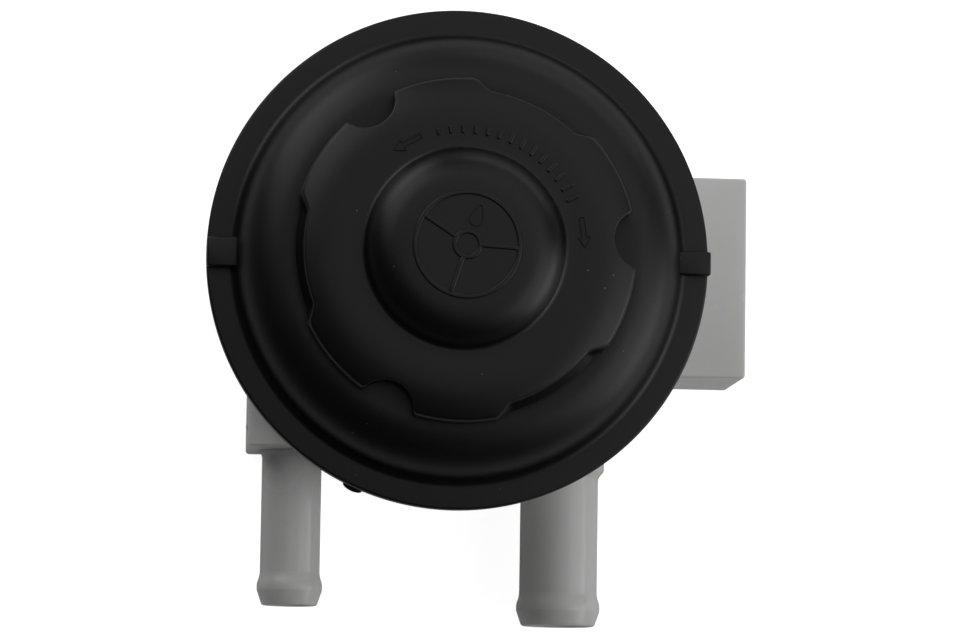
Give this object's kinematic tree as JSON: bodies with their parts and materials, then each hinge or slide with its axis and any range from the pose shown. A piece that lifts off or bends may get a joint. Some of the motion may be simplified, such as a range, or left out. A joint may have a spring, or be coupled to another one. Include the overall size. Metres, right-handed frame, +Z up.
{
  "type": "power steering reservoir",
  "caption": "Power steering fluid reservoir: pale tank with supply and return hose nipples and a slide-on bracket, welded black cover and a lobed screw cap with dipstick.",
  "frame": {"origin": "centre of the flat base, on the axis of the tank, neck and cap", "axes": "+Z up to the cap, -Y the side that both hose nipples leave by, +X the side of the slide-on bracket"},
  "size_m": [0.1077, 0.1147, 0.1135],
  "materials": {
    "natural_nylon": "translucent natural moulding, satin",
    "black_nylon": "fine-textured black moulding, matte",
    "cap_plastic": "smooth black moulding, satin",
    "seal_rubber": "moulded rubber",
    "grey_plastic": "moulded plastic",
    "felt": "pressed felt",
    "white_plastic": "moulded plastic",
    "screen_mesh": "woven polyamide screen",
    "ferrite": "sintered ferrite"
  },
  "bodies": {
    "tank": {"lower_shell": "natural_nylon", "upper_shell": "black_nylon", "baffle_plate": "natural_nylon", "filter_frame": "grey_plastic", "filter_screen": "screen_mesh", "return_standpipe": "natural_nylon", "collector_magnet": "ferrite"},
    "plug": {"cap_liner": "grey_plastic", "vent_felt": "felt", "dipstick": "white_plastic"},
    "cap": {"cap_shell": "cap_plastic", "cap_gasket": "seal_rubber"}
  },
  "joints": [
    {"name": "cap_lift", "type": "slide", "parent": "tank", "child": "plug", "axis": [0, 0, 1], "range_m": [0, 0.006]},
    {"name": "cap_turn", "type": "hinge", "parent": "plug", "child": "cap", "pos_m": [0, 0, 0.1], "axis": [0, 0, 1], "range_deg": [0, 540]}
  ],
  "couplings": [
    {"joint": "cap_turn", "follows": "cap_lift", "rad_per_m": 1570.8}
  ]
}
